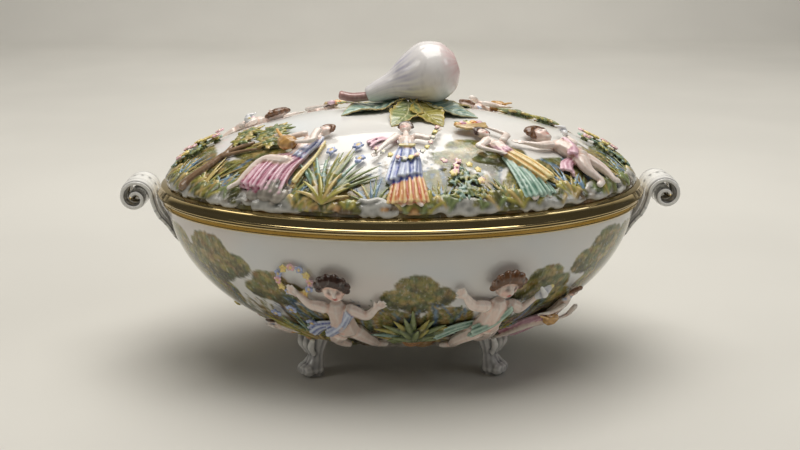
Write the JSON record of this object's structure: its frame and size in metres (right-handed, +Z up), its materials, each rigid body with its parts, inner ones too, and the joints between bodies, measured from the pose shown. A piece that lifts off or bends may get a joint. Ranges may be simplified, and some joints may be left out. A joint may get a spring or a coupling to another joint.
{
  "type": "covered tureen",
  "caption": "Oval footed porcelain tureen with scroll handles, painted garden relief, gilt rims and a lift-off domed lid with a pear knob, for serving soup at table.",
  "frame": {"origin": "middle of the oval on the table, under the bowl", "axes": "+X along the oval through the handles, +Y across it to the back, +Z up"},
  "size_m": [0.4, 0.232, 0.2304],
  "materials": {
    "white_glaze": "glossy white glaze",
    "gilding": "burnished gilding over glaze",
    "handle_glaze": "white glaze with painted lines",
    "foot_glaze": "white glaze with painted strokes",
    "pear_glaze": "white glaze with fine painted shading",
    "stem_glaze": "painted glaze",
    "leaf_glaze": "painted glaze",
    "ground_glaze": "painted glaze",
    "relief_glaze": "painted glaze"
  },
  "bodies": {
    "bowl": {"bowl_back_aloe": "relief_glaze", "bowl_back_child_left": "relief_glaze", "bowl_back_child_right": "relief_glaze", "bowl_back_player": "relief_glaze", "bowl_back_recliner": "relief_glaze", "bowl_back_reeds": "relief_glaze", "bowl_front_aloe": "relief_glaze", "bowl_front_child_left": "relief_glaze", "bowl_front_child_right": "relief_glaze", "bowl_front_player": "relief_glaze", "bowl_front_recliner": "relief_glaze", "bowl_front_reeds": "relief_glaze", "bowl_ground_bank": "ground_glaze", "bowl_left_bush": "relief_glaze", "bowl_right_bush": "relief_glaze", "bowl_rim_band": "gilding", "bowl_shell": "white_glaze", "foot_back_left": "foot_glaze", "foot_back_right": "foot_glaze", "foot_front_left": "foot_glaze", "foot_front_right": "foot_glaze", "handle_left": "handle_glaze", "handle_right": "handle_glaze"},
    "lid": {"leaf_1": "leaf_glaze", "leaf_2": "leaf_glaze", "leaf_3": "leaf_glaze", "leaf_4": "leaf_glaze", "leaf_5": "leaf_glaze", "leaf_6": "leaf_glaze", "lid_back_basket_bearer": "relief_glaze", "lid_back_bush": "relief_glaze", "lid_back_child": "relief_glaze", "lid_back_garland_bearer": "relief_glaze", "lid_back_player": "relief_glaze", "lid_back_reeds": "relief_glaze", "lid_back_tree": "relief_glaze", "lid_front_basket_bearer": "relief_glaze", "lid_front_bush": "relief_glaze", "lid_front_child": "relief_glaze", "lid_front_garland_bearer": "relief_glaze", "lid_front_player": "relief_glaze", "lid_front_reeds": "relief_glaze", "lid_front_tree": "relief_glaze", "lid_left_bush": "relief_glaze", "lid_right_bush": "relief_glaze", "lid_rim_band": "gilding", "lid_rock_bank": "ground_glaze", "lid_shell": "white_glaze", "pear": "pear_glaze", "pear_stem": "stem_glaze"}
  },
  "joints": [
    {"name": "lid_lift", "type": "slide", "parent": "bowl", "child": "lid", "axis": [0, 0, 1], "range_m": [0, 0.16]}
  ]
}
